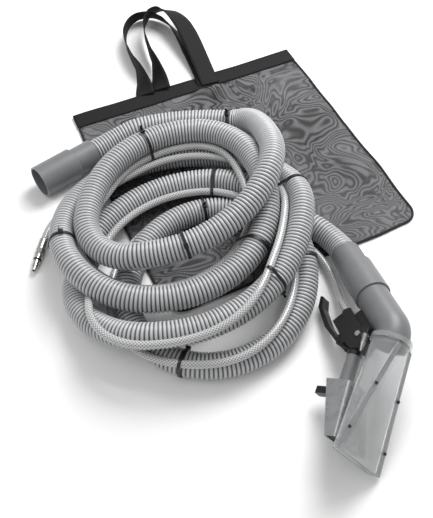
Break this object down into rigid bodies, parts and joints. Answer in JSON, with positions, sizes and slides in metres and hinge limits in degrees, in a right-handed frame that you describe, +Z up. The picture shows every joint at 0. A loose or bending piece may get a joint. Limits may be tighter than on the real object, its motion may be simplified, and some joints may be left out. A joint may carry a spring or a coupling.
{
  "type": "upholstery cleaning hose and hand tool set",
  "caption": "Coiled vacuum hose with a tied solution hose, swivel cuffs, quick plug and a clear hand tool with a trigger valve, lying on its mesh carry bag.",
  "frame": {"origin": "middle of the bag's underside, on the floor", "axes": "+Z up from the floor; +Y towards the bag's handles and away from the tool; +X to the tool's side"},
  "size_m": [0.6678, 1.0195, 0.165],
  "materials": {
    "mesh_cloth": "woven",
    "webbing": "woven",
    "grey_hose": "satin",
    "clear_hose": "gloss",
    "nylon_tie": "satin",
    "grey_plastic": "satin",
    "nickel": "polished",
    "rubber": "matt",
    "clear_plastic": "gloss",
    "black_plastic": "satin",
    "dark_steel": "satin",
    "brass": "satin"
  },
  "bodies": {
    "kit": {"bag_back_panel": "mesh_cloth", "bag_front_panel": "mesh_cloth", "bag_piping": "webbing", "bag_hem": "webbing", "handle_back": "webbing", "handle_front": "webbing", "handle_patches": "webbing", "hose_coil": "grey_hose", "cable_ties": "nylon_tie", "vacuum_hose_machine_end": "grey_hose", "vacuum_hose_tool_end": "grey_hose", "solution_hose_machine_end": "clear_hose", "solution_hose_tool_end": "clear_hose", "machine_cuff_collar": "grey_plastic", "tool_cuff_collar": "grey_plastic", "plug_body": "nickel", "plug_ferrule": "nickel", "plug_seal": "rubber"},
    "machine_cuff": {"machine_cuff_shell": "grey_plastic", "machine_cuff_ring": "dark_steel"},
    "tool_cuff": {"tool_cuff_shell": "grey_plastic", "tool_cuff_ring": "dark_steel"},
    "tool": {"vac_tube": "grey_plastic", "head_outer_shell": "clear_plastic", "head_inner_shell": "clear_plastic", "head_gasket": "rubber", "head_screws": "dark_steel", "head_ring": "clear_plastic", "spray_hood": "clear_plastic", "hood_saddle": "clear_plastic", "hood_clip": "black_plastic", "spray_tube": "grey_plastic", "jet_body": "black_plastic", "jet_tip": "brass", "jet_strainer": "dark_steel", "valve_body": "black_plastic", "valve_saddle": "black_plastic", "valve_cap": "black_plastic", "valve_spring": "dark_steel", "valve_seat": "brass", "inlet_nut": "black_plastic", "inlet_barb": "nickel", "trigger_pin": "dark_steel", "valve_lock_screw": "nickel", "pressure_screw": "nickel"},
    "trigger": {"trigger": "black_plastic"},
    "plunger": {"valve_plunger": "brass", "plunger_seal": "rubber"}
  },
  "joints": [
    {"name": "machine_cuff_swivel", "type": "hinge", "parent": "kit", "child": "machine_cuff", "pos_m": [-0.26451, 0.0032, 0.0282], "axis": [0.7749, 0.632, 0], "continuous": true},
    {"name": "tool_cuff_swivel", "type": "hinge", "parent": "kit", "child": "tool_cuff", "pos_m": [0.17896, -0.24037, 0.03932], "axis": [0.2488, -0.9285, 0.2756], "continuous": true},
    {"name": "tool_twist", "type": "hinge", "parent": "kit", "child": "tool", "pos_m": [0.19712, -0.30815, 0.05944], "axis": [-0.2488, 0.9285, -0.2756], "range_deg": [0, 12], "deforming": ["solution_hose_tool_end"]},
    {"name": "trigger_squeeze", "type": "hinge", "parent": "tool", "child": "trigger", "pos_m": [0.15552, -0.39344, 0.03462], "axis": [0.6125, -0.0696, -0.7874], "range_deg": [0, 7], "stiffness_Nm_per_rad": 1, "springref_deg": -14.32},
    {"name": "plunger_stroke", "type": "slide", "parent": "tool", "child": "plunger", "axis": [0.7503, 0.3647, 0.5514], "range_m": [0, 0.0025], "deforming": ["valve_spring"]}
  ],
  "couplings": [
    {"joint": "plunger_stroke", "follows": "trigger_squeeze", "m_per_rad": 0.02}
  ]
}
